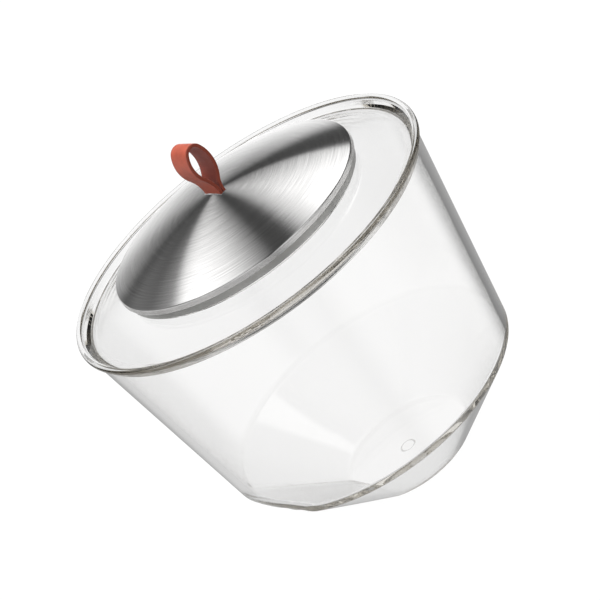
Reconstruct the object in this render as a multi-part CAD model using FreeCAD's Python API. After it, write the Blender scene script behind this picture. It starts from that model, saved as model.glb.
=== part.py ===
import FreeCAD, Part
import os
from math import acos, asin, atan2, cos, hypot, radians, sin, tan

# Lidded clear canister: a tapered bowl with a conical base and one resting flat,
# a clear ring that narrows its mouth, and a domed steel lid with a leather loop.
# Millimetres, +Z up along the axis, base disc on Z = 0, resting flat towards -X.

V = FreeCAD.Vector

# ---- bowl ----
base_radius = 39.4          # disc that the upright canister stands on
kink_radius = 86.5          # where the conical base meets the wall
kink_height = 42.0
rim_height = 165.5
wall_top_radius = 102.9     # outside of the wall, carried up to the rim's height
wall = 4.5                  # thickness of the wall, the cone and the floor
lip_reach = 2.1             # rolled lip around the rim, out from the wall
lip_height = 2.4            # upright side of the lip
lip_under = 0.6             # rise of its underside, out from the wall
lip_top_width = 2.6         # flat on top of the lip, before its roundings
flat_angle = 41.5           # resting flat, from the horizontal
flat_inset = 6.5            # from the foot's edge in to the flat
outer_rounding = 1.6        # outer edges of the kink, the foot and the flat
inner_rounding = 3.0        # inner edges of the same
lip_rounding = 1.1
gate_radius = 3.9           # moulding mark under the middle of the floor
gate_width = 0.7
gate_depth = 0.35

# ---- clear ring that closes the bowl down to the mouth ----
ring_thickness = 2.2
ring_drop = 5.0             # from the rim down to the ring's outer edge
ring_ledge = 1.3            # ledge in the wall that carries the ring
ring_seat_gap = 0.05        # bonding gap under and around the ring
mouth_radius = 62.0
mouth_depth = 3.2           # edge of the ring around the mouth
land_width = 7.0            # flat land around the mouth, under the lid
land_rise = 1.7             # land above the rim

# ---- lid ----
lid_gap = 0.3               # lid above the land
skirt_lap = 8.5             # skirt outside the mouth's edge
skirt_wall = 1.0
skirt_flange = 4.0          # inward flange that carries the insert
skirt_shown = 4.6           # skirt seen below the dome's hem
hem_reach = 1.9             # hem of the dome, out from the skirt
hem_height = 3.3
hem_rounding = 0.9
dome_sheet = 0.8
dome_rise = 14.6            # from the top of the hem to the apex
dome_bow = 2.3              # bulge of the dome above a straight cone
lid_seat_gap = 0.1          # between pieces of the lid that are pressed together

# ---- insert and seal under the dome ----
insert_plate = 1.5
collar_wall = 2.6
collar_gap = 2.4            # collar of the insert, inside the mouth
collar_depth = 4.0
seal_gap = 0.3              # seal to the mouth, uncompressed
seal_height = 2.0
seal_lift = 1.3             # seal above the collar's lower edge
seal_groove = 1.2           # depth of its groove in the collar

# ---- leather loop and the rivet that holds it ----
strap_width = 15.0
strap_thickness = 1.8
strap_parting = 0.2         # between the two ends of the strap
loop_height = 29.6          # above the dome, to the top of the strap
loop_width = 14.4
loop_top_radius = 4.8       # middle of the strap, at the top of the loop
loop_right_radius = 19.0    # middle of the strap, at the side towards +X
loop_left_radius = 15.0     # and at the side towards -X, which is more bowed
slot_gap = 0.15             # slot in the dome, around the strap
strap_tail = 3.0            # strap below the rivet
rivet_radius = 1.5
rivet_head_radius = 3.6
rivet_head = 1.2
rivet_gap = 0.05
rivet_drop = 1.0            # rivet heads below the underside of the apex


def arc(p, q, r):
    """Arc through three points."""
    return Part.Arc(p, q, r).toShape()


def line(p, q):
    return Part.LineSegment(p, q).toShape()


def outline(points):
    """Closed face in the XZ plane from (radius, height) corners."""
    corners = [V(r, 0, z) for r, z in points]
    return Part.Face(Part.makePolygon(corners + corners[:1]))


def spin(face):
    return face.revolve(V(0, 0, 0), V(0, 0, 1), 360)


def ring_edges(solid, radius, height):
    """Full circles of a turned solid at one radius and height."""
    near = 1e-3
    found = []
    for edge in solid.Edges:
        box = edge.BoundBox
        level = box.ZLength < near and abs(box.ZMin - height) < near
        if level and abs(box.XMax - radius) < near:
            found.append(edge)
    return found


def rounded(solid, circles, radius):
    """Round the named circles, given as (radius, height)."""
    edges = [edge for r, z in circles for edge in ring_edges(solid, r, z)]
    return solid.makeFillet(radius, edges)


# ---- sections of the bowl ----
lip_radius = wall_top_radius + lip_reach
flat_offset = base_radius - flat_inset
wall_slope = (wall_top_radius - kink_radius) / (rim_height - kink_height)
cone_angle = atan2(kink_height, kink_radius - base_radius)
wall_angle = atan2(1, wall_slope)


def wall_outside(z):
    return kink_radius + (z - kink_height) * wall_slope


def wall_inside(z):
    return wall_outside(z) - wall / sin(wall_angle)


def inner_floor_radius():
    """The cone's inner face where it meets the floor."""
    return base_radius - wall * tan(cone_angle / 2)


def inner_kink():
    """Where the cone's inner face meets the wall's inner face."""
    half_turn = (wall_angle - cone_angle) / 2
    reach = wall / cos(half_turn)
    direction = (wall_angle + cone_angle) / 2
    return kink_radius - reach * sin(direction), kink_height + reach * cos(direction)


ring_bottom = rim_height - ring_drop - ring_thickness
ring_outer_radius = wall_inside(ring_bottom) + ring_ledge
land_height = rim_height + land_rise


def beyond_flat(offset):
    """Everything outside a plane that leans out over the resting flat."""
    reach = 3 * lip_radius
    run = reach * cos(radians(flat_angle))
    rise = reach * sin(radians(flat_angle))
    a = V(-offset + run, -reach, -rise)
    b = V(-offset - run, -reach, rise)
    side = V(-sin(radians(flat_angle)), 0, -cos(radians(flat_angle))) * reach
    face = Part.Face(Part.makePolygon([a, b, b + side, a + side, a]))
    return face.extrude(V(0, 2 * reach, 0))


def low_edges(solid, top):
    """Edges of the foot, the kink and the flat, below a height."""
    found = []
    for edge in solid.Edges:
        if edge.BoundBox.ZMax < top and edge.Length > 1 and len(edge.Vertexes) == 2:
            if not seam(solid, edge):
                found.append(edge)
    return found


def seam(solid, edge):
    """True for the line where a turned face meets itself."""
    faces = [face for face in solid.Faces if any(edge.isSame(e) for e in face.Edges)]
    return len(faces) < 2


def bowl():
    kink_r, kink_z = inner_kink()
    outer = [(0, 0), (base_radius, 0), (kink_radius, kink_height),
             (wall_outside(rim_height - lip_height), rim_height - lip_height - lip_under),
             (lip_radius, rim_height - lip_height), (lip_radius, rim_height), (0, rim_height)]
    lip_inner = lip_radius - lip_top_width
    inner = [(0, wall), (inner_floor_radius(), wall), (kink_r, kink_z),
             (wall_inside(ring_bottom), ring_bottom), (ring_outer_radius, ring_bottom),
             (ring_outer_radius, rim_height - ring_drop), (lip_inner, rim_height),
             (lip_inner, rim_height + lip_height), (0, rim_height + lip_height)]
    top = kink_height + 4 * wall
    shell = spin(outline(outer)).cut(beyond_flat(flat_offset)).removeSplitter()
    shell = shell.makeFillet(outer_rounding, low_edges(shell, top))
    inner_offset = flat_offset - wall / sin(radians(flat_angle))
    room = spin(outline(inner)).cut(beyond_flat(inner_offset)).removeSplitter()
    room = room.makeFillet(inner_rounding, low_edges(room, top))
    body = shell.cut(room)
    body = body.cut(Part.makeCylinder(gate_radius + gate_width, gate_depth))
    body = body.fuse(Part.makeCylinder(gate_radius, gate_depth)).removeSplitter()
    return rounded(body, [(lip_radius, rim_height), (lip_inner, rim_height)], lip_rounding)


def top_ring():
    radius = ring_outer_radius - ring_seat_gap
    bottom = ring_bottom + ring_seat_gap
    edge_top = rim_height - ring_drop
    land_radius = mouth_radius + land_width
    slope = atan2(land_height - edge_top, radius - land_radius)
    under = ring_thickness / cos(slope / 2)
    turn = under * sin(slope / 2)
    collar_radius = mouth_radius + ring_thickness
    face = outline([(radius, bottom), (radius, edge_top), (land_radius, land_height),
                    (mouth_radius, land_height), (mouth_radius, land_height - mouth_depth),
                    (collar_radius, land_height - mouth_depth),
                    (collar_radius, land_height - ring_thickness),
                    (land_radius - turn, land_height - ring_thickness),
                    (radius - wall, bottom)])
    ring = spin(face)
    ring = rounded(ring, [(mouth_radius, land_height)], lip_rounding)
    return rounded(ring, [(mouth_radius, land_height - mouth_depth),
                          (collar_radius, land_height - mouth_depth)], lip_rounding / 2)


# ---- radii of the lid, and its heights from the land up ----
skirt_radius = mouth_radius + skirt_lap
hem_radius = skirt_radius + hem_reach
skirt_bottom = land_height + lid_gap
hem_bottom = skirt_bottom + skirt_shown
hem_top = hem_bottom + hem_height
apex = hem_top + dome_rise


def dome_arc(shift):
    """Start, middle and end of the dome's line, moved inwards by a distance."""
    chord = hypot(hem_radius, dome_rise)
    out = V(dome_rise / chord, 0, hem_radius / chord)
    middle = V(hem_radius / 2, 0, hem_top + dome_rise / 2) + out * dome_bow
    start, end = V(0, 0, apex), V(hem_radius, 0, hem_top)
    return start - V(0, 0, shift), middle - out * shift, end - V(0, 0, shift)


def trimmed_dome_arc(shift, radius):
    """The dome's line from the axis to a radius."""
    start, middle, end = dome_arc(shift)
    curve = Part.Arc(start, middle, end)
    circle = curve.toShape().Curve
    depth = (circle.Radius ** 2 - (radius - circle.Center.x) ** 2) ** 0.5
    last = V(radius, 0, circle.Center.z + depth)
    first_angle = atan2(start.z - circle.Center.z, start.x - circle.Center.x)
    last_angle = atan2(last.z - circle.Center.z, last.x - circle.Center.x)
    half = (first_angle + last_angle) / 2
    halfway = circle.Center + V(cos(half), 0, sin(half)) * circle.Radius
    return start, halfway, last


hem_inner_radius = skirt_radius + lid_seat_gap
dome_under_edge = trimmed_dome_arc(dome_sheet, hem_inner_radius)[2].z
skirt_top = dome_under_edge - lid_seat_gap


def strap_room(gap, low, high):
    """Upright block around the two ends of the strap."""
    width = 2 * strap_thickness + strap_parting + 2 * gap
    depth = strap_width + 2 * gap
    return Part.makeBox(width, depth, high - low, V(-width / 2, -depth / 2, low))


def lid_dome():
    top_start, top_middle, top_end = trimmed_dome_arc(0, hem_radius)
    low_start, low_middle, low_end = trimmed_dome_arc(dome_sheet, hem_inner_radius)
    hem_outer = V(hem_radius, 0, hem_bottom)
    hem_inner = V(hem_inner_radius, 0, hem_bottom)
    edges = [arc(top_start, top_middle, top_end), line(top_end, hem_outer),
             line(hem_outer, hem_inner), line(hem_inner, low_end),
             arc(low_end, low_middle, low_start), line(low_start, top_start)]
    dome = spin(Part.Face(Part.Wire(edges)))
    dome = rounded(dome, [(hem_radius, top_end.z)], hem_rounding)
    dome = rounded(dome, [(hem_radius, hem_bottom)], hem_rounding / 2)
    return dome.cut(strap_room(slot_gap, apex - 2 * dome_rise, apex + dome_rise))


def lid_skirt():
    inner = skirt_radius - skirt_wall
    flange = inner - skirt_flange
    ring = spin(outline([(skirt_radius, skirt_bottom), (skirt_radius, skirt_top),
                         (inner, skirt_top), (inner, skirt_bottom + skirt_wall),
                         (flange, skirt_bottom + skirt_wall), (flange, skirt_bottom)]))
    return rounded(ring, [(skirt_radius, skirt_bottom)], skirt_wall / 2)


plate_bottom = skirt_bottom + skirt_wall + lid_seat_gap
collar_radius = mouth_radius - collar_gap
collar_bottom = land_height - collar_depth
seal_bottom = collar_bottom + seal_lift


def lid_insert():
    plate_radius = skirt_radius - skirt_wall - lid_seat_gap
    inner = collar_radius - collar_wall
    groove = collar_radius - seal_groove
    return spin(outline([(0, plate_bottom), (0, plate_bottom + insert_plate),
                         (plate_radius, plate_bottom + insert_plate), (plate_radius, plate_bottom),
                         (collar_radius, plate_bottom), (collar_radius, seal_bottom + seal_height),
                         (groove, seal_bottom + seal_height), (groove, seal_bottom),
                         (collar_radius, seal_bottom), (collar_radius, collar_bottom),
                         (inner, collar_bottom), (inner, plate_bottom)]))


def seal_ring():
    inner = collar_radius - seal_groove + lid_seat_gap / 2
    outer = mouth_radius - seal_gap
    low = seal_bottom + lid_seat_gap / 2
    high = seal_bottom + seal_height - lid_seat_gap / 2
    middle = (low + high) / 2
    shoulder = collar_radius + lid_seat_gap
    return spin(outline([(inner, low), (shoulder, low), (outer, middle - seal_height / 8),
                         (outer, middle + seal_height / 8), (shoulder, high), (inner, high)]))


# ---- loop: three arcs a side, from the slot to the top ----
end_middle = (strap_thickness + strap_parting) / 2
rivet_height = apex - dome_sheet - rivet_head_radius - rivet_drop
strap_bottom = rivet_height - rivet_head_radius - strap_tail


def loop_side(shift, side_r):
    """One half of the strap's line, moved outwards, from its end to the top."""
    half_width = (loop_width - strap_thickness) / 2
    top_r = loop_top_radius
    turn = acos((side_r - half_width) / (side_r - top_r))
    top = V(0, 0, loop_height - strap_thickness / 2 - top_r)
    side = top - V(cos(turn), 0, sin(turn)) * (side_r - top_r)
    reach = end_middle - side.x
    foot_r = (reach ** 2 + side.z ** 2 - side_r ** 2) / (2 * (side_r - reach))
    lean = asin(side.z / (side_r + foot_r))
    foot = V(end_middle + foot_r, 0, 0)

    def on(centre, radius, angle):
        return centre + V(cos(angle), 0, sin(angle)) * radius + V(0, 0, apex)

    quarter = radians(90)
    points = [V(end_middle + shift, 0, strap_bottom), V(end_middle + shift, 0, apex)]
    edges = [line(points[0], points[1])]
    edges.append(arc(points[1], on(foot, foot_r - shift, 2 * quarter - lean / 2),
                     on(foot, foot_r - shift, 2 * quarter - lean)))
    edges.append(arc(on(side, side_r + shift, -lean), on(side, side_r + shift, (turn - lean) / 2),
                     on(side, side_r + shift, turn)))
    edges.append(arc(on(top, top_r + shift, turn), on(top, top_r + shift, (turn + quarter) / 2),
                     on(top, top_r + shift, quarter)))
    return edges


def loop_half(side_r):
    """Half of the strap on the +X side."""
    half = strap_thickness / 2
    outer = loop_side(half, side_r)
    inner = loop_side(-half, side_r)
    foot = line(V(end_middle - half, 0, strap_bottom), V(end_middle + half, 0, strap_bottom))
    head = line(V(0, 0, apex + loop_height), V(0, 0, apex + loop_height - strap_thickness))
    face = Part.Face(Part.Wire(Part.__sortEdges__(outer + inner + [foot, head])))
    solid = face.extrude(V(0, strap_width, 0))
    solid.translate(V(0, -strap_width / 2, 0))
    return solid


def leather_loop():
    left = loop_half(loop_left_radius).mirror(V(0, 0, 0), V(1, 0, 0))
    strap = loop_half(loop_right_radius).fuse(left).removeSplitter()
    return strap.cut(rivet_bore(rivet_radius + rivet_gap))


def rivet_bore(radius):
    reach = 2 * strap_thickness
    return Part.makeCylinder(radius, 2 * reach, V(-reach, 0, rivet_height), V(1, 0, 0))


def loop_rivet():
    """Pin through both ends of the strap, with its head on the -X side."""
    half = strap_thickness + strap_parting / 2 + rivet_gap
    base = V(-half, 0, rivet_height)
    pin = Part.makeCylinder(rivet_radius, 2 * half + rivet_head, base, V(1, 0, 0))
    head = Part.makeCylinder(rivet_head_radius, rivet_head, base, V(-1, 0, 0))
    return pin.fuse(head).removeSplitter()


def rivet_washer():
    """Washer that the pin's other end is spread against."""
    half = strap_thickness + strap_parting / 2 + rivet_gap
    base = V(half, 0, rivet_height)
    disc = Part.makeCylinder(rivet_head_radius, rivet_head, base, V(1, 0, 0))
    return disc.cut(Part.makeCylinder(rivet_radius + rivet_gap, 3 * rivet_head,
                                      base - V(rivet_head, 0, 0), V(1, 0, 0)))


parts = {
    "canister_bowl": bowl(),
    "top_ring": top_ring(),
    "lid_dome": lid_dome(),
    "lid_skirt": lid_skirt(),
    "lid_insert": lid_insert(),
    "seal_ring": seal_ring(),
    "leather_loop": leather_loop(),
    "loop_rivet": loop_rivet(),
    "rivet_washer": rivet_washer(),
}

os.makedirs("parts", exist_ok=True)
for name, shape in parts.items():
    shape.exportStep("parts/" + name + ".step")
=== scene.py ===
import math

import bpy
import numpy as np
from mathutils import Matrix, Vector


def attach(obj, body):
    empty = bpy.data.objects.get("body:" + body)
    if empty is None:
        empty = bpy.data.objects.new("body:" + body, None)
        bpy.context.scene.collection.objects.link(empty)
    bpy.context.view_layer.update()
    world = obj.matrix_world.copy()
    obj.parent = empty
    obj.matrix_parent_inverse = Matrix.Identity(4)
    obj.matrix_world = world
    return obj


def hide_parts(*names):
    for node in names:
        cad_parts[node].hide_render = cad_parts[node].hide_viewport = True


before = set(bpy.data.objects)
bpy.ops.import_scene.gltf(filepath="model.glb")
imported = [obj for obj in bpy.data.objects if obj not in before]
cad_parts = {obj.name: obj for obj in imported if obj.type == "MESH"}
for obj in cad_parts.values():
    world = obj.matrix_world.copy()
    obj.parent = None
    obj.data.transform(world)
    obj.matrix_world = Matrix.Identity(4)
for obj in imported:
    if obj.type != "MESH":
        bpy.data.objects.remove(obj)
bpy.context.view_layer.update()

MM = 0.001

# ---- sizes, in millimetres, in the frame's axes ----
foot_radius = 39.4
kink_radius = 86.5
kink_height = 42.0
rim_height = 165.5
wall_top_radius = 102.9
wall = 4.5
lip_radius = 105.0
lip_height = 2.4
lip_under = 0.6
lip_top_width = 2.6
lip_rounding = 1.1
lip_under_rounding = 0.7
flat_slope = math.radians(41.5)
flat_offset = 32.9
outer_rounding = 1.6
inner_rounding = 3.0
gate_radius = 3.9
gate_width = 0.7
gate_depth = 0.35
gate_slope = 0.15

ring_thickness = 2.2
ring_drop = 5.0
ring_ledge = 1.3
ring_seat_gap = 0.05
mouth_radius = 62.0
mouth_depth = 3.2
land_width = 7.0
land_rise = 1.7
land_rounding = 1.5

lid_gap = 0.3
skirt_radius = 70.5
skirt_wall = 1.0
skirt_flange = 4.0
skirt_shown = 4.6
skirt_foot_rounding = 0.5
hem_radius = 72.4
hem_height = 3.3
hem_rounding = 0.9
hem_foot_rounding = 0.35
dome_sheet = 0.8
dome_rise = 14.6
dome_bow = 2.3
lid_seat_gap = 0.1
slot_fade_radius = 24.0
slot_corner_blend = 0.4
slot_ease = 0.1

insert_plate = 1.5
collar_wall = 2.6
collar_gap = 2.4
collar_depth = 4.0
collar_root_rounding = 0.6
seal_gap = 0.3
seal_height = 2.0
seal_lift = 1.3
seal_groove = 1.2

strap_width = 15.0
strap_thickness = 1.8
strap_parting = 0.2
loop_height = 29.6
loop_width = 14.4
loop_top_radius = 4.8
loop_right_radius = 19.0
loop_left_radius = 15.0
slot_gap = 0.15
strap_tail = 3.0
burnished_width = 0.9
burnished_fade = 0.8
rivet_radius = 1.5
rivet_head_radius = 3.6
rivet_head = 1.2
rivet_head_rounding = 0.8
rivet_gap = 0.05
rivet_drop = 1.0

# how far an edge is rounded, from the sharpest to the softest
sharp_edge = 0.1
crisp_edge = 0.15
turned_edge = 0.2
eased_edge = 0.3
soft_edge = 0.4

# arcs with a small rounding need few cuts
small_rounding = 0.35
small_arc_steps = 3


# ---- shapes ----
def rounded_path(corners, closed, step, arc_steps=7):
    """Straight runs between (radius, height, rounding) corners. Each corner becomes an
    arc that touches both runs, and runs are cut into pieces no longer than step."""
    points = np.array([c[:2] for c in corners], float)
    count = len(points)
    pieces = []
    for i, (_, _, rounding) in enumerate(corners):
        here = points[i]
        end = not closed and i in (0, count - 1)
        if end or rounding <= 0:
            pieces.append(here[None])
            continue
        back, ahead = points[i - 1] - here, points[(i + 1) % count] - here
        back, ahead = back / np.hypot(*back), ahead / np.hypot(*ahead)
        half = math.acos(np.clip(back @ ahead, -1, 1)) / 2
        middle = (back + ahead) / np.hypot(*(back + ahead))
        centre = here + middle * rounding / math.sin(half)
        first = here + back * rounding / math.tan(half) - centre
        turn = math.pi - 2 * half
        turn *= np.sign(back[1] * ahead[0] - back[0] * ahead[1])
        cuts = arc_steps if rounding > small_rounding else small_arc_steps
        a = np.linspace(0, turn, cuts + 1)[:, None]
        side = np.array([-first[1], first[0]])
        pieces.append(centre + first * np.cos(a) + side * np.sin(a))
    runs = []
    for i, piece in enumerate(pieces):
        runs.append(piece)
        if i + 1 < count or closed:
            start, stop = piece[-1], pieces[(i + 1) % count][0]
            cuts = int(math.ceil(np.hypot(*(stop - start)) / step))
            t = np.linspace(0, 1, cuts + 1)[1:-1, None]
            runs.append(start + (stop - start) * t)
    return np.concatenate(runs)


def new_mesh(name, points, quads, triangles):
    """Mesh object in metres with outward faces and smooth normals, each vertex normal
    being the sum of its faces' normals weighted by their areas."""
    mesh = bpy.data.meshes.new(name)
    mesh.from_pydata(points * MM, [], quads.tolist() + triangles.tolist())
    mesh.update()
    mesh.validate()
    obj = bpy.data.objects.new(name, mesh)
    bpy.context.scene.collection.objects.link(obj)
    halves = np.concatenate([quads[:, :3], quads[:, [0, 2, 3]], triangles])
    a, b, c = (points[halves[:, k]] for k in range(3))
    crosses = np.cross(b - a, c - a)
    weights = np.zeros_like(points)
    for k in range(3):
        np.add.at(weights, halves[:, k], crosses)
    volume = (a * crosses).sum()
    if volume < 0:
        mesh.flip_normals()
        weights = -weights
    length = np.linalg.norm(weights, axis=1, keepdims=True)
    normals = weights / np.maximum(length, 1e-12)
    mesh.shade_smooth()
    mesh.normals_split_custom_set_from_vertices(normals)
    return obj


def grid_quads(rows, columns, closed):
    """Quads between each row of points and the next, round all columns. A closed path's
    last row joins its first."""
    i, j = np.meshgrid(np.arange(rows if closed else rows - 1), np.arange(columns), indexing="ij")
    i2, j2 = (i + 1) % rows, (j + 1) % columns
    corners = [i * columns + j, i * columns + j2, i2 * columns + j2, i2 * columns + j]
    return np.stack(corners, axis=-1).reshape(-1, 4)


def end_fans(rows, columns):
    """Triangles from one extra point to the first row, and from a second one to the last."""
    around = np.arange(columns)
    onward = (around + 1) % columns
    first, last = rows * columns, (rows - 1) * columns
    near = np.stack([np.full(columns, first), onward, around], axis=-1)
    far = np.stack([np.full(columns, first + 1), last + around, last + onward], axis=-1)
    return np.concatenate([near, far])


no_triangles = np.empty((0, 3), int)


def evenly(columns):
    """Azimuths of this many columns, at equal angles all round."""
    return np.arange(columns) * 2 * math.pi / columns


def turned(name, path, closed, azimuths, shift=None, lay=None):
    """Surface of revolution: point (i, j) is path point i turned to azimuth j.
    shift(radius, height, azimuth) may move the radii and heights of the whole grid, and
    lay(points) all the points after that. An open path starts and ends on the axis, at
    one vertex each."""
    rows = path if closed else path[1:-1]
    radius = np.repeat(rows[:, :1], len(azimuths), axis=1)
    height = np.repeat(rows[:, 1:], len(azimuths), axis=1)
    if shift:
        radius, height = shift(radius, height, azimuths[None, :])
    grid = np.stack([radius * np.cos(azimuths), radius * np.sin(azimuths), height], axis=-1)
    points = grid.reshape(-1, 3)
    triangles = no_triangles
    if not closed:
        points = np.concatenate([points, [[0, 0, path[0, 1]], [0, 0, path[-1, 1]]]])
        triangles = end_fans(*radius.shape)
    if lay:
        points = lay(points)
    return new_mesh(name, points, grid_quads(*radius.shape, closed), triangles)


def smooth_least(a, b, blend):
    """The lesser of two arrays, with a rounded change between them."""
    h = np.clip(0.5 + 0.5 * (b - a) / blend, 0, 1)
    return b + (a - b) * h - blend * h * (1 - h)


wall_slope = (wall_top_radius - kink_radius) / (rim_height - kink_height)
cone_angle = math.atan2(kink_height, kink_radius - foot_radius)
wall_angle = math.atan2(1, wall_slope)


def wall_outside(z):
    """Radius of the wall's outer face, which grows evenly from the kink up."""
    return kink_radius + (z - kink_height) * wall_slope


def wall_inside(z):
    """Radius of the wall's inner face: the outer one less the wall's level width."""
    return wall_outside(z) - wall / math.sin(wall_angle)


ring_bottom = rim_height - ring_drop - ring_thickness
ring_outer_radius = wall_inside(ring_bottom) + ring_ledge
land_height = rim_height + land_rise

bowl_step = 2.6
bowl_columns = 430
bowl_bunching = 0.5
flat_clear_height = kink_height + 28
ledge_clear_height = ring_bottom - 6
# how softly the wall's two faces turn into the flat, and how near it the turn starts
flat_blend_outside, flat_blend_inside = 1.2, 2.4
flat_reach = 6


def bowl_piece():
    """Outer line from the foot's centre to the lip and inner line back to the floor's
    centre, turned about the axis. Radii past the resting flat are drawn in to it, and
    the columns stand closer together on that side."""
    inner_floor = foot_radius - wall * math.tan(cone_angle / 2)
    reach = wall / math.cos((wall_angle - cone_angle) / 2)
    middle = (wall_angle + cone_angle) / 2
    kink = kink_radius - reach * math.sin(middle), kink_height + reach * math.cos(middle)
    gate = gate_radius + gate_width
    under = rim_height - lip_height
    outer = [(0, 0, 0), (gate_radius, 0, crisp_edge),
             (gate_radius + gate_slope, gate_depth, crisp_edge),
             (gate - gate_slope, gate_depth, crisp_edge), (gate, 0, crisp_edge),
             (foot_radius, 0, outer_rounding), (kink_radius, kink_height, outer_rounding),
             (wall_outside(under), under - lip_under, eased_edge),
             (lip_radius, under, lip_under_rounding), (lip_radius, rim_height, lip_rounding)]
    inner = [(lip_radius - lip_top_width, rim_height, lip_rounding),
             (ring_outer_radius, rim_height - ring_drop, eased_edge),
             (ring_outer_radius, ring_bottom, crisp_edge),
             (wall_inside(ring_bottom), ring_bottom, crisp_edge), (*kink, inner_rounding),
             (inner_floor, wall, inner_rounding), (0, wall, 0)]
    whole = rounded_path(outer + inner, closed=False, step=bowl_step)
    # the wall is straight above the resting flat, so a third of its rows is enough there
    straight = (whole[:, 1] > flat_clear_height) & (whole[:, 1] < ledge_clear_height)
    whole = whole[~straight | (np.arange(len(whole)) % 3 == 0)]
    azimuths = evenly(bowl_columns)
    azimuths += bowl_bunching * np.sin(azimuths)
    inside = (np.arange(len(whole) - 2) >= np.argmax(whole[:, 1]))[:, None]

    def draw_in(radius, height, azimuth):
        towards = np.maximum(-np.cos(azimuth), 1e-3)
        offset = np.where(inside, flat_offset - wall / math.sin(flat_slope), flat_offset)
        plane = (offset + height / math.tan(flat_slope)) / towards
        blend = np.where(inside, flat_blend_inside, flat_blend_outside)
        near = smooth_least(radius, plane, blend)
        return np.where(plane > radius + flat_reach, radius, near), height

    return turned("clear_bowl", whole, False, azimuths, draw_in)


def ring_piece():
    """Section of the ring turned about the axis: a sloping band from the seat up to the
    level land, and a short wall down round the mouth."""
    radius = ring_outer_radius - ring_seat_gap
    bottom = ring_bottom + ring_seat_gap
    edge_top = rim_height - ring_drop
    land_radius = mouth_radius + land_width
    slope = math.atan2(land_height - edge_top, radius - land_radius)
    turn = ring_thickness / math.cos(slope / 2) * math.sin(slope / 2)
    collar = mouth_radius + ring_thickness
    foot, underside = land_height - mouth_depth, land_height - ring_thickness
    path = rounded_path([(radius, bottom, sharp_edge), (radius, edge_top, crisp_edge),
                         (land_radius, land_height, land_rounding),
                         (mouth_radius, land_height, lip_rounding),
                         (mouth_radius, foot, soft_edge), (collar, foot, soft_edge),
                         (collar, underside, soft_edge),
                         (land_radius - turn, underside, land_rounding),
                         (radius - wall, bottom, eased_edge)], closed=True, step=2.0)
    return turned("clear_ring", path, True, evenly(360))


skirt_bottom = land_height + lid_gap
hem_bottom = skirt_bottom + skirt_shown
hem_top = hem_bottom + hem_height
apex = hem_top + dome_rise


def dome_line(shift, radii):
    """Heights on the circle through the apex, the bowed middle and the top of the hem,
    moved down by shift at both ends."""
    chord = math.hypot(hem_radius, dome_rise)
    outward = np.array([dome_rise, hem_radius]) / chord
    p = np.array([0.0, apex - shift])
    q = np.array([hem_radius / 2, hem_top + dome_rise / 2]) + outward * (dome_bow - shift)
    r = np.array([hem_radius, hem_top - shift])
    matrix = 2 * np.array([q - p, r - p])
    centre = np.linalg.solve(matrix, np.array([q @ q - p @ p, r @ r - p @ p]))
    radius = np.hypot(*(p - centre))
    return centre[1] + np.sqrt(radius ** 2 - (radii - centre[0]) ** 2)


hem_inner_radius = skirt_radius + lid_seat_gap
skirt_top = dome_line(dome_sheet, hem_inner_radius) - lid_seat_gap

dome_top_rows, dome_low_rows, dome_columns = 60, 50, 480
hem_rows = 6


def dome_piece():
    """Top and underside of the sheet joined by the hem. Radii near the axis are pushed
    out to the rectangle of the slot, and the push fades over the inner third."""
    top_radii = np.linspace(0, hem_radius, dome_top_rows)
    low_radii = np.linspace(0, hem_inner_radius, dome_low_rows)
    upper = np.stack([top_radii, dome_line(0, top_radii)], axis=1)
    lower = np.stack([low_radii, dome_line(dome_sheet, low_radii)], axis=1)
    hem = rounded_path([(*upper[-hem_rows], 0), (*upper[-1], hem_rounding),
                        (hem_radius, hem_bottom, hem_foot_rounding),
                        (hem_inner_radius, hem_bottom, turned_edge),
                        (*lower[-1], sharp_edge), (*lower[-hem_rows], 0)],
                       closed=False, step=0.8)
    path = np.concatenate([upper[:-hem_rows], hem, lower[:-hem_rows][::-1]])
    half_x = strap_thickness + strap_parting / 2 + slot_gap
    half_y = strap_width / 2 + slot_gap

    def open_slot(radius, height, azimuth):
        c = np.maximum(np.abs(np.cos(azimuth)), 1e-6)
        s = np.maximum(np.abs(np.sin(azimuth)), 1e-6)
        edge = smooth_least(half_x / c, half_y / s, slot_corner_blend) + slot_ease
        share = np.clip(radius / slot_fade_radius, 0, 1)
        pushed = edge + (slot_fade_radius - edge) * share
        moved = np.where(radius < slot_fade_radius, pushed, radius)
        return moved, height + dome_line(0, moved) - dome_line(0, radius)

    return turned("brushed_dome", path, True, evenly(dome_columns), open_slot)


def skirt_piece():
    """Upright band with an inward flange at its foot, turned about the axis."""
    inner = skirt_radius - skirt_wall
    flange = inner - skirt_flange
    flange_top = skirt_bottom + skirt_wall
    path = rounded_path([(skirt_radius, skirt_bottom, skirt_foot_rounding),
                         (skirt_radius, skirt_top, crisp_edge), (inner, skirt_top, crisp_edge),
                         (inner, flange_top, eased_edge), (flange, flange_top, turned_edge),
                         (flange, skirt_bottom, turned_edge)],
                        closed=True, step=1.0, arc_steps=4)
    return turned("steel_skirt", path, True, evenly(360))


plate_bottom = skirt_bottom + skirt_wall + lid_seat_gap
collar_radius = mouth_radius - collar_gap
collar_bottom = land_height - collar_depth
seal_bottom = collar_bottom + seal_lift


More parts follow.
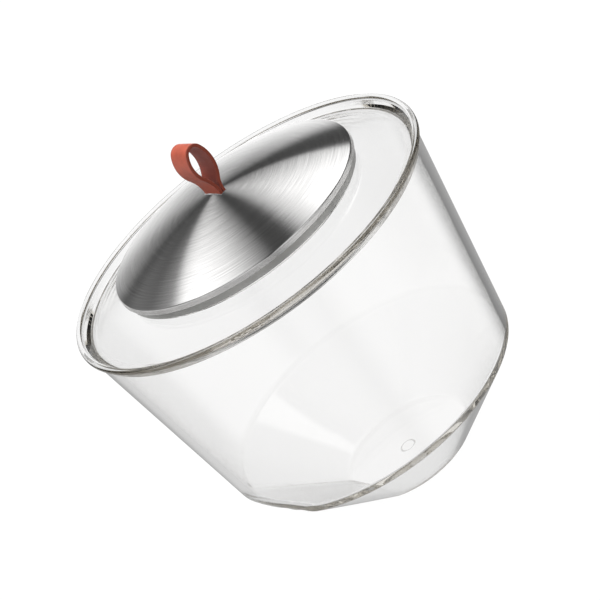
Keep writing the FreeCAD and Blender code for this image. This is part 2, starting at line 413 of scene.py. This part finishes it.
def insert_piece():
    """Plate across the mouth with a grooved collar below it, turned about the axis."""
    plate_radius = skirt_radius - skirt_wall - lid_seat_gap
    plate_top = plate_bottom + insert_plate
    inner = collar_radius - collar_wall
    groove = collar_radius - seal_groove
    seal_top = seal_bottom + seal_height
    path = rounded_path([(0, plate_bottom, 0), (inner, plate_bottom, collar_root_rounding),
                         (inner, collar_bottom, soft_edge),
                         (collar_radius, collar_bottom, soft_edge),
                         (collar_radius, seal_bottom, sharp_edge),
                         (groove, seal_bottom, sharp_edge), (groove, seal_top, sharp_edge),
                         (collar_radius, seal_top, sharp_edge),
                         (collar_radius, plate_bottom, soft_edge),
                         (plate_radius, plate_bottom, eased_edge),
                         (plate_radius, plate_top, eased_edge), (0, plate_top, 0)],
                        closed=False, step=3.0, arc_steps=4)
    return turned("lid_insert_plate", path, False, evenly(300))


def seal_piece():
    """Ring with a blunt wedge towards the mouth, turned about the axis."""
    inner = collar_radius - seal_groove + lid_seat_gap / 2
    outer = mouth_radius - seal_gap
    low = seal_bottom + lid_seat_gap / 2
    high = seal_bottom + seal_height - lid_seat_gap / 2
    middle = (low + high) / 2
    nose = seal_height / 8
    shoulder = collar_radius + lid_seat_gap
    path = rounded_path([(inner, low, sharp_edge), (shoulder, low, eased_edge),
                         (outer, middle - nose, eased_edge), (outer, middle + nose, eased_edge),
                         (shoulder, high, eased_edge), (inner, high, sharp_edge)],
                        closed=True, step=0.6, arc_steps=4)
    return turned("silicone_seal", path, True, evenly(300))


end_middle = (strap_thickness + strap_parting) / 2
rivet_height = apex - dome_sheet - rivet_head_radius - rivet_drop
strap_bottom = rivet_height - rivet_head_radius - strap_tail
loop_step = 0.35
tail_rows = 30


def half_loop_line(side_radius):
    """Middle line of half a loop, from its end to the top: an upright run, an arc that
    leans out, an arc round the side and an arc over the top, each meeting the next."""
    half_width = (loop_width - strap_thickness) / 2
    top_r = loop_top_radius
    turn = math.acos((side_radius - half_width) / (side_radius - top_r))
    top = np.array([0, loop_height - strap_thickness / 2 - top_r])
    side = top - np.array([math.cos(turn), math.sin(turn)]) * (side_radius - top_r)
    reach = end_middle - side[0]
    foot_r = (reach ** 2 + side[1] ** 2 - side_radius ** 2) / (2 * (side_radius - reach))
    lean = math.asin(side[1] / (side_radius + foot_r))
    foot = np.array([end_middle + foot_r, 0])

    def arc(centre, radius, first, last):
        cuts = max(4, int(abs(last - first) * radius / loop_step))
        a = np.linspace(first, last, cuts)[:, None]
        return centre + radius * np.concatenate([np.cos(a), np.sin(a)], axis=1)

    upright = np.stack([np.full(tail_rows, end_middle),
                        np.linspace(strap_bottom - apex, 0, tail_rows)], axis=1)
    return np.concatenate([upright[:-1], arc(foot, foot_r, math.pi, math.pi - lean)[:-1],
                           arc(side, side_radius, -lean, turn)[:-1],
                           arc(top, top_r, turn, math.pi / 2)])


def strap_piece():
    """Rounded rectangle carried along the loop's middle line: each section point lies
    across the strap along Y, and along the line's normal. Three attributes go with it:
    cut_edge is 1 on the cut edges, flesh_side_shade is 1 on the face inside the loop, which
    the leather paints darker as shade, and along_strap is the place on the flat strap,
    in metres."""
    left = half_loop_line(loop_left_radius) * [-1, 1]
    right = half_loop_line(loop_right_radius)
    line = np.concatenate([left, right[::-1][1:]])
    along = np.concatenate([[0], np.cumsum(np.hypot(*np.diff(line, axis=0).T))])
    tangent = np.gradient(line, along, axis=0)
    tangent /= np.linalg.norm(tangent, axis=1, keepdims=True)
    normal = np.stack([-tangent[:, 1], tangent[:, 0]], axis=1)
    half_w, half_t = strap_width / 2, strap_thickness / 2
    section = rounded_path([(-half_w, -half_t, soft_edge), (half_w, -half_t, soft_edge),
                            (half_w, half_t, soft_edge), (-half_w, half_t, soft_edge)],
                           closed=True, step=0.6, arc_steps=5)
    across, up = section[:, 0], section[:, 1]
    n, m = len(line), len(section)
    x = line[:, :1] + normal[:, :1] * up
    z = line[:, 1:] + normal[:, 1:] * up + apex
    y = np.repeat(across[None], n, axis=0)
    points = np.stack([x, y, z], axis=-1).reshape(-1, 3)
    points = np.concatenate([points, [points[:m].mean(0), points[-m:].mean(0)]])
    obj = new_mesh("leather_strap", points, grid_quads(n, m, False), end_fans(n, m))
    edge = np.clip((np.abs(across) - half_w + burnished_width) / burnished_fade, 0, 1)
    # 1 on the face inside the loop, where the leather is painted darker as shade
    inner = np.where(up < 0, 1.0, 0.0)
    for name, values in (("cut_edge", edge), ("flesh_side_shade", inner)):
        attribute = obj.data.attributes.new(name, "FLOAT", "POINT")
        whole = np.concatenate([np.tile(values, n), [1.0, 1.0]])
        attribute.data.foreach_set("value", whole.astype(np.float32))
    lengthwise = obj.data.attributes.new("along_strap", "FLOAT_VECTOR", "POINT")
    flat = np.stack([np.repeat(along, m), np.tile(across, n), np.tile(up, n)], axis=1)
    flat = np.concatenate([flat, [[0, 0, 0], [along[-1], 0, 0]]]) * MM
    lengthwise.data.foreach_set("vector", flat.astype(np.float32).ravel())
    return obj


def lay_across(points):
    """A turned piece's axis laid along X, at the rivet's height."""
    return np.stack([points[:, 2], points[:, 1], rivet_height - points[:, 0]], axis=1)


def rivet_pieces():
    """Pin with a domed head, and the washer that its far end is spread over, both turned
    about the pin's axis."""
    half = strap_thickness + strap_parting / 2 + rivet_gap
    tip = half + rivet_head
    bore = rivet_radius + rivet_gap
    pin = rounded_path([(0, -tip, 0), (rivet_head_radius, -tip, rivet_head_rounding),
                        (rivet_head_radius, -half, crisp_edge),
                        (rivet_radius, -half, sharp_edge), (rivet_radius, tip, eased_edge),
                        (0, tip, 0)], closed=False, step=0.5, arc_steps=4)
    washer = rounded_path([(bore, half, sharp_edge), (rivet_head_radius, half, turned_edge),
                           (rivet_head_radius, tip, eased_edge), (bore, tip, sharp_edge)],
                          closed=True, step=0.5, arc_steps=4)
    return (turned("rivet_pin", pin, False, evenly(64), lay=lay_across),
            turned("rivet_washer_disc", washer, True, evenly(64), lay=lay_across))


# ---- materials ----
def node(tree, kind, inputs=None, **settings):
    """New node. Its settings come first, because they choose its sockets. Each input
    takes a value, or a link from the output that is given for it."""
    made = tree.nodes.new(kind)
    for key, value in settings.items():
        setattr(made, key, value)
    for key, value in (inputs or {}).items():
        if isinstance(value, bpy.types.NodeSocket):
            tree.links.new(value, made.inputs[key])
        else:
            made.inputs[key].default_value = value
    return made


def maths_in(tree):
    """The function that adds one Math node to a tree and gives its result."""

    def maths(operation, *values):
        return node(tree, "ShaderNodeMath", dict(enumerate(values)), operation=operation).outputs[0]

    return maths


def ranged(tree, value, from_low, from_high, to_low, to_high, **settings):
    """Value moved evenly from one range to another, and kept in it."""
    return node(tree, "ShaderNodeMapRange",
                {"Value": value, "From Min": from_low, "From Max": from_high,
                 "To Min": to_low, "To Max": to_high}, **settings).outputs["Result"]


def blended(tree, share, first, second):
    """Colour that goes from first to second as share goes from 0 to 1."""
    return node(tree, "ShaderNodeMix", {"Factor": share, "A": first, "B": second},
                data_type="RGBA").outputs["Result"]


def bumped(tree, height, strength, distance):
    """Surface normal tilted by the slopes of a height."""
    return node(tree, "ShaderNodeBump", {"Height": height, "Strength": strength,
                                         "Distance": distance}).outputs["Normal"]


def object_place(tree):
    """Place on the piece, in metres along the frame's axes."""
    return node(tree, "ShaderNodeTexCoord").outputs["Object"]


def noise(tree, place, scale, detail, roughness=0.5):
    """Cloudy pattern between 0 and 1, with this many cells a metre."""
    return node(tree, "ShaderNodeTexNoise", {"Vector": place, "Scale": scale, "Detail": detail,
                                             "Roughness": roughness}).outputs["Fac"]


def shaded(tone, share):
    """An opaque colour, with its tone made lighter or darker by a share."""
    return (*[min(1, c * share) for c in tone], 1)


def material(name):
    """Empty material, its tree and its output node."""
    made = bpy.data.materials.new(name)
    made.use_nodes = True
    made.node_tree.nodes.clear()
    return made, made.node_tree, node(made.node_tree, "ShaderNodeOutputMaterial")


def finished(tree, out, inputs):
    """Principled shader with these inputs, joined to the material's surface."""
    shader = node(tree, "ShaderNodeBsdfPrincipled", inputs)
    tree.links.new(shader.outputs["BSDF"], out.inputs["Surface"])


def clear_material(name, tint, density):
    """Polished clear body: refraction, faint waviness and absorption in its thickness."""
    made, tree, out = material(name)
    waves = noise(tree, object_place(tree), scale=28.0, detail=1.0, roughness=0.4)
    waves = bumped(tree, waves, strength=0.05, distance=0.0006)
    finished(tree, out, {"Base Color": (1, 1, 1, 1), "Roughness": 0.0, "IOR": 1.49,
                         "Transmission Weight": 1.0, "Normal": waves})
    inside = node(tree, "ShaderNodeVolumeAbsorption", {"Color": (*tint, 1), "Density": density})
    tree.links.new(inside.outputs["Volume"], out.inputs["Volume"])
    return made


def turned_brushing():
    """Node group: fine scratches that run round the Z axis. Noise is read at
    (radius, cos azimuth, sin azimuth), with the radius stretched far more."""
    group = bpy.data.node_groups.new("turned_brushing", "ShaderNodeTree")
    face = group.interface
    for name, way in (("Fineness", "INPUT"), ("Length", "INPUT"),
                      ("Scratches", "OUTPUT"), ("Bands", "OUTPUT")):
        face.new_socket(name, in_out=way, socket_type="NodeSocketFloat")
    start, end = node(group, "NodeGroupInput"), node(group, "NodeGroupOutput")
    maths = maths_in(group)
    split = node(group, "ShaderNodeSeparateXYZ", {0: object_place(group)})
    x, y = split.outputs[0], split.outputs[1]
    radius = maths("SQRT", maths("ADD", maths("MULTIPLY", x, x), maths("MULTIPLY", y, y)))
    safe = maths("MAXIMUM", radius, 1e-5)
    fineness, length = start.outputs["Fineness"], start.outputs["Length"]
    round_x = maths("MULTIPLY", maths("DIVIDE", x, safe), length)
    round_y = maths("MULTIPLY", maths("DIVIDE", y, safe), length)
    for name, share in (("Scratches", 1.0), ("Bands", 0.2)):
        outward = maths("MULTIPLY", radius, maths("MULTIPLY", fineness, share))
        joined = node(group, "ShaderNodeCombineXYZ", {0: outward, 1: round_x, 2: round_y})
        streaks = noise(group, joined.outputs[0], scale=1.0, detail=3.0, roughness=0.6)
        group.links.new(streaks, end.inputs[name])
    return group


def steel_material(name, tone, roughness, anisotropy, fineness, length, depth):
    """Steel brushed round the axis: the gloss is wider along the radius, and the
    scratches change tone and height a little."""
    made, tree, out = material(name)
    group = node(tree, "ShaderNodeGroup", {"Fineness": fineness, "Length": length},
                 node_tree=brushing)
    scratches, bands = group.outputs["Scratches"], group.outputs["Bands"]
    share = ranged(tree, scratches, 0.3, 0.7, 0.0, 1.0)
    level = node(tree, "ShaderNodeVectorMath", {0: object_place(tree), 1: (1, 1, 0)},
                 operation="MULTIPLY")
    outward = node(tree, "ShaderNodeVectorMath", {0: level.outputs[0]}, operation="NORMALIZE")
    finished(tree, out, {
        "Metallic": 1.0, "Anisotropic": anisotropy, "Tangent": outward.outputs[0],
        "Base Color": blended(tree, share, shaded(tone, 0.84), shaded(tone, 1.13)),
        "Roughness": ranged(tree, bands, 0.0, 1.0, roughness * 0.85, roughness * 1.15),
        "Normal": bumped(tree, scratches, strength=depth, distance=0.0001)})
    return made


leather_dyes = [(0.3, (0.46, 0.075, 0.035, 1)), (0.7, (0.62, 0.115, 0.055, 1))]
# the flesh side inside the loop, painted darker: painted shade where the loop shades itself
flesh_shade_colour = (0.38, 0.062, 0.03, 1)
burnished_colour = (0.32, 0.06, 0.032, 1)


def leather_material():
    """Dyed leather: pebbled grain, blotches of dye, a flesh side painted darker as shade
    inside the loop, and burnished cut edges, read from the strap's own attributes."""
    made, tree, out = material("terracotta_leather")

    def attribute(name):
        return node(tree, "ShaderNodeAttribute", attribute_name=name).outputs

    along = attribute("along_strap")["Vector"]
    blotches = noise(tree, along, scale=160.0, detail=4.0, roughness=0.6)
    dye = node(tree, "ShaderNodeValToRGB", {"Fac": blotches})
    for element, (place, colour) in zip(dye.color_ramp.elements, leather_dyes):
        element.position, element.color = place, colour
    # painted shade: the face inside the loop takes the darker flesh colour
    colour = blended(tree, attribute("flesh_side_shade")["Fac"], dye.outputs["Color"], flesh_shade_colour)
    colour = blended(tree, attribute("cut_edge")["Fac"], colour, burnished_colour)
    grain = node(tree, "ShaderNodeTexVoronoi", {"Vector": along, "Scale": 2600.0})
    pores = noise(tree, along, scale=3000.0, detail=3.0)
    pebbles = maths_in(tree)("ADD", grain.outputs["Distance"], pores)
    finished(tree, out, {
        "Sheen Weight": 0.15, "Sheen Roughness": 0.5, "Specular IOR Level": 0.35,
        "Base Color": colour, "Roughness": ranged(tree, blotches, 0.0, 1.0, 0.45, 0.65),
        "Normal": bumped(tree, pebbles, strength=0.35, distance=0.00012)})
    return made


def moulded_material(name, tone, roughness, transmission):
    """Moulded plastic or silicone with a fine matt grain."""
    made, tree, out = material(name)
    grain = noise(tree, object_place(tree), scale=900.0, detail=3.0)
    finished(tree, out, {
        "Roughness": roughness, "Transmission Weight": transmission,
        "Base Color": blended(tree, grain, shaded(tone, 0.94), shaded(tone, 1)),
        "Normal": bumped(tree, grain, strength=0.2, distance=0.00005)})
    return made


brushing = turned_brushing()
clear_tint, clear_density = (0.915, 0.907, 0.89), 25.0
clear_body = clear_material("clear_body", clear_tint, clear_density)
clear_ring = clear_material("clear_ring", clear_tint, clear_density)
dome_steel = steel_material("dome_steel", tone=(0.64, 0.635, 0.63), roughness=0.17,
                            anisotropy=1.0, fineness=2200, length=2.0, depth=0.12)
skirt_steel = steel_material("skirt_steel", tone=(0.42, 0.42, 0.41), roughness=0.3,
                             anisotropy=0.6, fineness=6000, length=2.0, depth=0.15)
rivet_steel = steel_material("rivet_steel", tone=(0.56, 0.55, 0.54), roughness=0.35,
                             anisotropy=0.0, fineness=5000, length=2.0, depth=0.1)
insert_plastic = moulded_material("insert_plastic", tone=(0.72, 0.72, 0.71), roughness=0.5,
                                  transmission=0.0)
seal_silicone = moulded_material("seal_silicone", tone=(0.72, 0.73, 0.72), roughness=0.42,
                                 transmission=0.35)
leather = leather_material()

# ---- pieces ----
pin, washer = rivet_pieces()
pieces = [
    (bowl_piece(), "canister", "canister_bowl", "clear_body", clear_body),
    (ring_piece(), "canister", "top_ring", "clear_ring", clear_ring),
    (dome_piece(), "lid", "lid_dome", "dome_steel", dome_steel),
    (skirt_piece(), "lid", "lid_skirt", "skirt_steel", skirt_steel),
    (insert_piece(), "lid", "lid_insert", "insert_plastic", insert_plastic),
    (seal_piece(), "lid", "seal_ring", "seal", seal_silicone),
    (strap_piece(), "lid", "leather_loop", "loop_leather", leather),
    (pin, "lid", "loop_rivet", "rivet_steel", rivet_steel),
    (washer, "lid", "rivet_washer", "rivet_steel", rivet_steel),
]
for obj, body, replaced, slot, finish in pieces:
    obj.data.materials.append(finish)
    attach(obj, body)
    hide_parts(replaced)
    # the brushing is too coarse to mirror the strap, so the steel doesn't show it
    obj.visible_glossy = replaced != "leather_loop"

# ---- floor ----
half_floor = 6.0
floor_drop = 0.0002
floor_mesh = bpy.data.meshes.new("pale_floor")
corners = np.array([[-1, -1, 0], [1, -1, 0], [1, 1, 0], [-1, 1, 0]], float) * half_floor
corners[:, 2] = -floor_drop
floor_mesh.from_pydata(corners, [], [(0, 1, 2, 3)])
floor = bpy.data.objects.new("pale_floor", floor_mesh)
bpy.context.scene.collection.objects.link(floor)
floor_material, floor_tree, floor_out = material("pale_floor")
glow = node(floor_tree, "ShaderNodeEmission", {"Strength": 0.99})
matt = node(floor_tree, "ShaderNodeBsdfDiffuse", {"Color": (0.05, 0.05, 0.05, 1)})
both = node(floor_tree, "ShaderNodeAddShader", {0: glow.outputs[0], 1: matt.outputs[0]})
floor_tree.links.new(both.outputs[0], floor_out.inputs["Surface"])
floor_mesh.materials.append(floor_material)
floor.visible_glossy = False
floor.visible_transmission = False
floor.visible_diffuse = False

# ---- camera ----
camera_data = bpy.data.cameras.new("camera")
camera_data.lens = 110.683
camera_data.sensor_width = 36.0
camera_data.clip_end = 50
camera = bpy.data.objects.new("camera", camera_data)
bpy.context.scene.collection.objects.link(camera)
camera.location = (-0.37370, -0.78911, 0.53181)
camera.rotation_euler = [math.radians(v) for v in (58.894, 32.975, -43.581)]
bpy.context.scene.camera = camera

# ---- surroundings, laid out for a canister that leans on its flat ----
lean_bearing = math.radians(35.3)
lean_up = np.array([math.sin(flat_slope), 0, math.cos(flat_slope)])
downhill = np.array([math.cos(flat_slope), 0, -math.sin(flat_slope)])
level_y = np.array([0, 1, 0])
lean_ahead = math.cos(lean_bearing) * level_y + math.sin(lean_bearing) * downhill
lean_right = math.cos(lean_bearing) * downhill - math.sin(lean_bearing) * level_y

world = bpy.data.worlds.new("studio")
bpy.context.scene.world = world
world.use_nodes = True
sky = world.node_tree
sky.nodes.clear()
looked_in = node(sky, "ShaderNodeTexCoord").outputs["Generated"]
maths = maths_in(sky)


def unit(vector):
    """The vector divided by its length."""
    return vector / np.linalg.norm(vector)


def leaning(right, up, ahead):
    """Direction given by its shares of the leaning frame's three directions."""
    return unit(right * lean_right + up * lean_up + ahead * lean_ahead)


def share_along(axis):
    """Cosine between the direction looked in and an axis."""
    return node(sky, "ShaderNodeVectorMath", {0: looked_in, 1: tuple(axis)},
                operation="DOT_PRODUCT").outputs["Value"]


def step_between(value, low, high):
    """0 below low, 1 above high, smooth between. Swap the two for the reverse."""
    ends = (0.0, 1.0) if low < high else (1.0, 0.0)
    return ranged(sky, value, min(low, high), max(low, high), *ends,
                  interpolation_type="SMOOTHSTEP")


# The lid's apex mirrors one direction to the camera. Cards stand in a ring round it, and
# each is given by its bearing in degrees, from the leaning frame's right towards its top,
# and by its brightness.
mirrored = unit(np.array([-1, -1, 1]) * (np.array(camera.location) - [0, 0, apex * MM]))
topwards = unit(lean_up - (lean_up @ mirrored) * mirrored)
sideways = unit(lean_right - (lean_right @ mirrored) * mirrored
                - (lean_right @ topwards) * topwards)
from_mirrored = maths("ARCCOSINE", share_along(mirrored))
cards = [(0, 2.0), (16, 0.75), (24, 0.0), (63, 0.0), (66, 2.1), (92, 2.1), (108, 1.9),
         (118, 1.0), (124, 0.0), (132, 0.0), (137, 0.4), (148, 1.4), (160, 2.0), (168, 1.8),
         (173, 0.4), (188, 0.12), (206, 0.25), (226, 0.05), (250, 0.8), (274, 1.15),
         (300, 1.6), (330, 1.95), (360, 2.0)]
brightest = 2.4
studio_dark = 0.08


def card_studio():
    """What steel and leather see: the card at the direction's bearing, faded out close to
    the mirrored direction and far from it, half as bright behind, and a pale sweep below."""
    angle = maths("ARCTAN2", share_along(topwards), share_along(sideways))
    turns = maths("FRACT", maths("ADD", maths("DIVIDE", angle, 2 * math.pi), 1))
    ring = node(sky, "ShaderNodeValToRGB", {"Fac": turns})
    elements = ring.color_ramp.elements
    for i, (degrees, strength) in enumerate(cards):
        element = elements[i] if i < 2 else elements.new(degrees / 360)
        element.position = degrees / 360
        element.color = (*[strength / brightest] * 3, 1)
    near = step_between(from_mirrored, math.radians(3), math.radians(34))
    far = step_between(from_mirrored, math.radians(82), math.radians(68))
    behind = step_between(from_mirrored, math.radians(92), math.radians(115))
    far = maths("MAXIMUM", far, maths("MULTIPLY", behind, 0.5))
    lit = maths("MULTIPLY", maths("MULTIPLY", ring.outputs["Color"], brightest), near)
    lit = maths("ADD", maths("MULTIPLY", lit, far), studio_dark)
    below = maths("MULTIPLY", step_between(share_along(lean_up), -0.1, -0.4), 0.9)
    return maths("MAXIMUM", lit, below)


# where two square panels stand in the leaning frame, half their size and their brightness
panels = [((-0.2, 0.96, -0.12), 0.34, 1.4), ((-0.76, 0.62, -0.18), 0.28, 1.2)]
panel_edge = 0.02
dim = 0.15


def edge_surroundings():
    """What rays turned back by the clear body see: a dim studio with a backdrop ahead, a
    sweep below, a wall to the right, a patch that the ring mirrors and two panels."""
    across = maths("ABSOLUTE", share_along(lean_right))
    height = share_along(lean_up)
    backdrop = maths("MULTIPLY", step_between(across, 0.75, 0.15), step_between(height, 0.65, 0.25))
    backdrop = maths("MULTIPLY", backdrop, step_between(share_along(lean_ahead), 0, 0.3))
    backdrop = maths("MULTIPLY", backdrop, 0.3)
    sweep = maths("MULTIPLY", step_between(height, -0.1, -0.4), step_between(across, 0.75, 0.45))
    right_wall = step_between(share_along(lean_right), 0.6, 0.85)
    over_ring = step_between(from_mirrored, math.radians(40), math.radians(12))
    seen = maths("MAXIMUM", maths("MULTIPLY", sweep, 0.6), right_wall)
    seen = maths("MAXIMUM", seen, maths("MULTIPLY", over_ring, 0.75))
    seen = maths("MAXIMUM", backdrop, seen)
    seen = maths("ADD", maths("MULTIPLY", seen, 1 - dim), dim)
    for place, half_size, strength in panels:
        middle = leaning(*place)
        level = unit(np.cross(level_y, middle))
        facing = maths("MAXIMUM", share_along(middle), 0.01)
        square = strength
        for axis in (level, np.cross(middle, level)):
            out_by = maths("ABSOLUTE", maths("DIVIDE", share_along(axis), facing))
            inside = step_between(out_by, half_size + panel_edge, half_size - panel_edge)
            square = maths("MULTIPLY", square, inside)
        seen = maths("MAXIMUM", seen, square)
    return seen


def clear_surroundings(depth):
    """What the clear body shows. A ray that crosses it straight meets an even number of
    surfaces and arrives at an odd depth, and it sees white, a little less overhead. A ray
    that the body turned back once arrives at an even depth, and sees the dim studio,
    which draws the edges of the wall."""
    turned_back = maths("MODULO", maths("ADD", depth, 1), 2)
    overhead = step_between(share_along((0, 0, 1)), 0.6, 0.3)
    white = maths("ADD", maths("MULTIPLY", overhead, 0.4), 0.6)
    return maths("ADD", maths("MULTIPLY", turned_back, edge_surroundings()),
                 maths("MULTIPLY", maths("SUBTRACT", 1, turned_back), white))


path = node(sky, "ShaderNodeLightPath").outputs
clear_or_mirror = maths("MAXIMUM", path["Is Transmission Ray"], path["Is Singular Ray"])
seen = node(sky, "ShaderNodeMix", {"Factor": clear_or_mirror, "A": card_studio(),
                                   "B": clear_surroundings(path["Ray Depth"])})
backdrop_white = (1.05, 1.05, 1.05, 1)
colour = blended(sky, path["Is Camera Ray"], seen.outputs["Result"], backdrop_white)
background = node(sky, "ShaderNodeBackground", {"Color": colour, "Strength": 1.0})
node(sky, "ShaderNodeOutputWorld", {"Surface": background.outputs[0]})


def softbox(name, place, size, power, distance=1.6):
    """Square area light, seen from the lid in a direction of the leaning frame. It lights
    matt surfaces only: polished ones see the cards and panels of the surroundings."""
    light = bpy.data.lights.new(name, "AREA")
    light.size = size
    light.energy = power
    lamp = bpy.data.objects.new(name, light)
    bpy.context.scene.collection.objects.link(lamp)
    away = leaning(*place)
    lamp.location = away * distance + np.array([0, 0, apex * MM])
    lamp.rotation_euler = Vector(away).to_track_quat("Z", "Y").to_euler()
    lamp.visible_glossy = False
    lamp.visible_transmission = False


softbox("softbox_left", (-0.76, 0.62, -0.18), size=0.9, power=10)
softbox("softbox_top", (-0.2, 0.96, -0.12), size=1.1, power=10)

scene = bpy.context.scene
scene.view_settings.view_transform = "Standard"
scene.view_settings.look = "None"
# light turns back many times inside the clear wall before it leaves
scene.cycles.max_bounces = 96
scene.cycles.transmission_bounces = 64
scene.cycles.glossy_bounces = 64
scene.cycles.diffuse_bounces = 4
scene.cycles.caustics_refractive = True
scene.cycles.caustics_reflective = False
